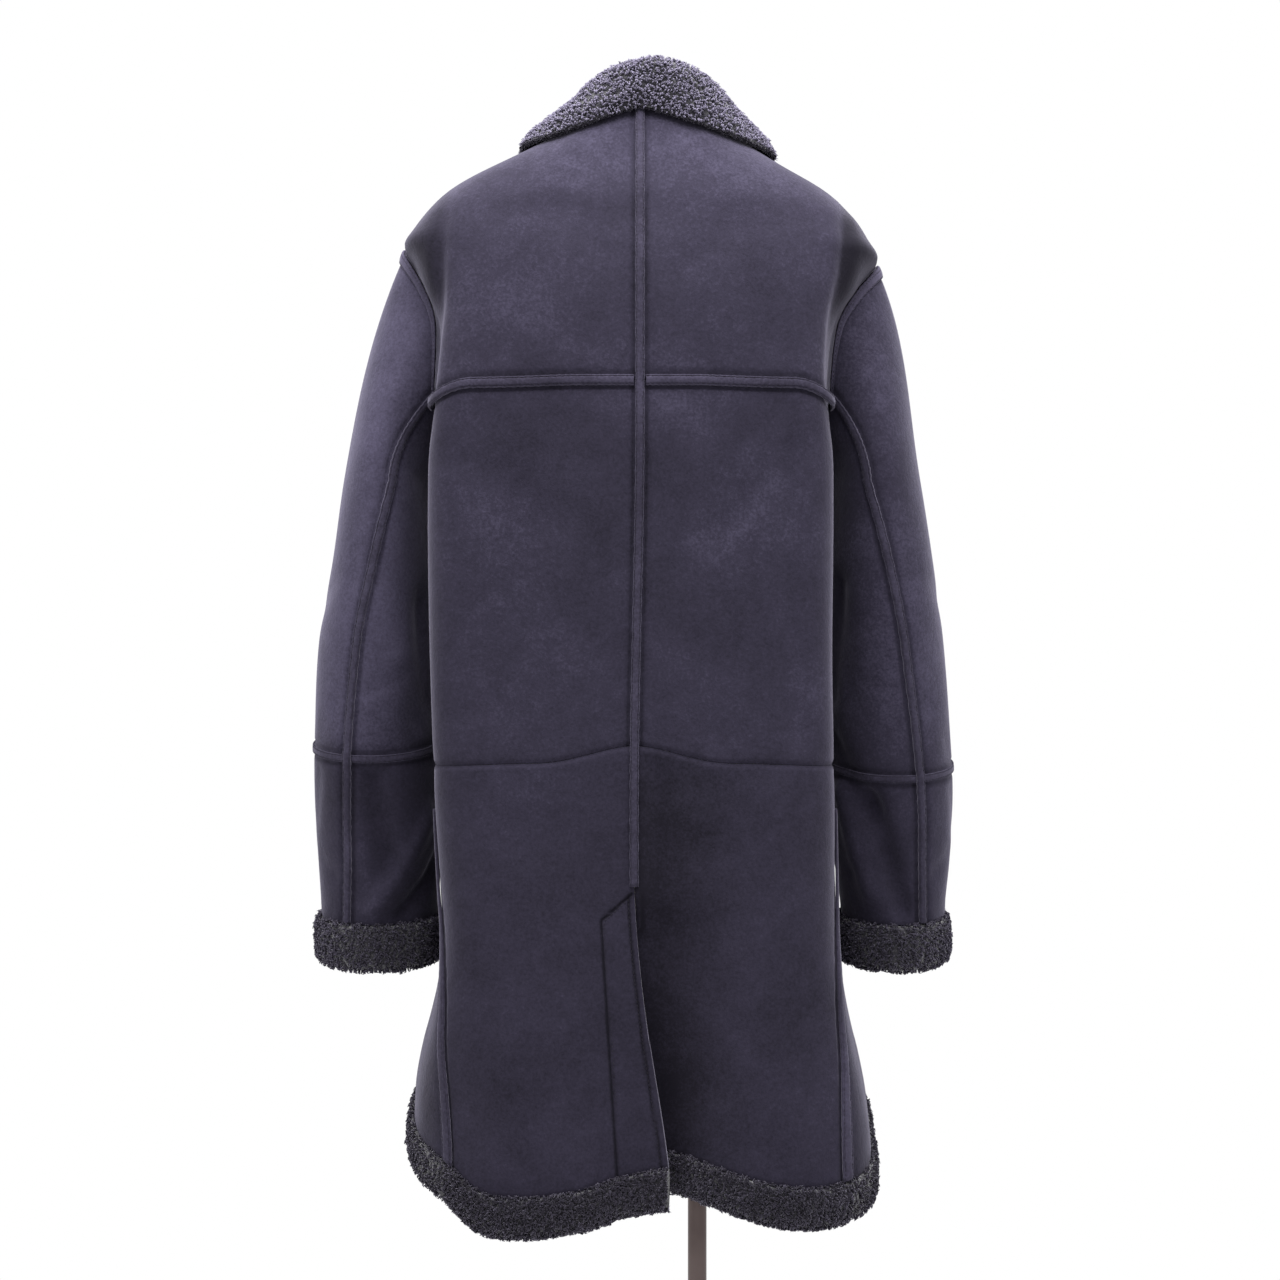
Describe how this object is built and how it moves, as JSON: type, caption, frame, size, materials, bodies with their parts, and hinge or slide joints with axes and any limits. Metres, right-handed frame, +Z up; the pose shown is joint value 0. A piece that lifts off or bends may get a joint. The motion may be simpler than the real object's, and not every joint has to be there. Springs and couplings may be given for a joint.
{
  "type": "shearling coat on dress form and stand",
  "caption": "Thigh-length shearling coat with wool turned out at collar, cuffs and hem, worn by a limbless dress form on a round-plate stand.",
  "frame": {"origin": "on the floor, on the underside of the stand's plate, below the middle of the coat", "axes": "+Z up, the coat's front faces +Y and its back -Y, +X is the wearer's right"},
  "size_m": [0.5881, 0.3059, 1.47],
  "materials": {
    "suede": "napped suede, dusty violet-grey",
    "wool": "dense curled wool pile",
    "button": "polished dark resin",
    "form_cover": "matt woven cover",
    "cap_wood": "satin varnish",
    "stand_metal": "dark satin"
  },
  "bodies": {
    "root": {"back_skirt_left": "suede", "back_skirt_right": "suede", "back_middle_left": "suede", "back_middle_right": "suede", "back_yoke_left": "suede", "back_yoke_right": "suede", "front_left": "suede", "front_right": "suede", "sleeve_top_upper_left": "suede", "sleeve_top_upper_right": "suede", "sleeve_under_upper_left": "suede", "sleeve_under_upper_right": "suede", "sleeve_top_lower_left": "suede", "sleeve_top_lower_right": "suede", "sleeve_under_lower_left": "suede", "sleeve_under_lower_right": "suede", "strip_centre_back": "suede", "strip_yoke_left": "suede", "strip_yoke_right": "suede", "strip_side_left": "suede", "strip_side_right": "suede", "strip_armhole_left": "suede", "strip_armhole_right": "suede", "strip_sleeve_upper_left": "suede", "strip_sleeve_upper_right": "suede", "strip_sleeve_lower_left": "suede", "strip_sleeve_lower_right": "suede", "strip_elbow_left": "suede", "strip_elbow_right": "suede", "hem_wool_back_left": "wool", "hem_wool_back_right": "wool", "hem_wool_front_left": "wool", "hem_wool_front_right": "wool", "cuff_wool_left": "wool", "cuff_wool_right": "wool", "lapel_left": "wool", "lapel_right": "wool", "collar": "wool", "button_1": "button", "button_2": "button", "button_3": "button", "button_4": "button", "dress_form": "form_cover", "neck_cap": "cap_wood", "form_flange": "stand_metal", "pole": "stand_metal", "base_plate": "stand_metal"}
  },
  "joints": []
}
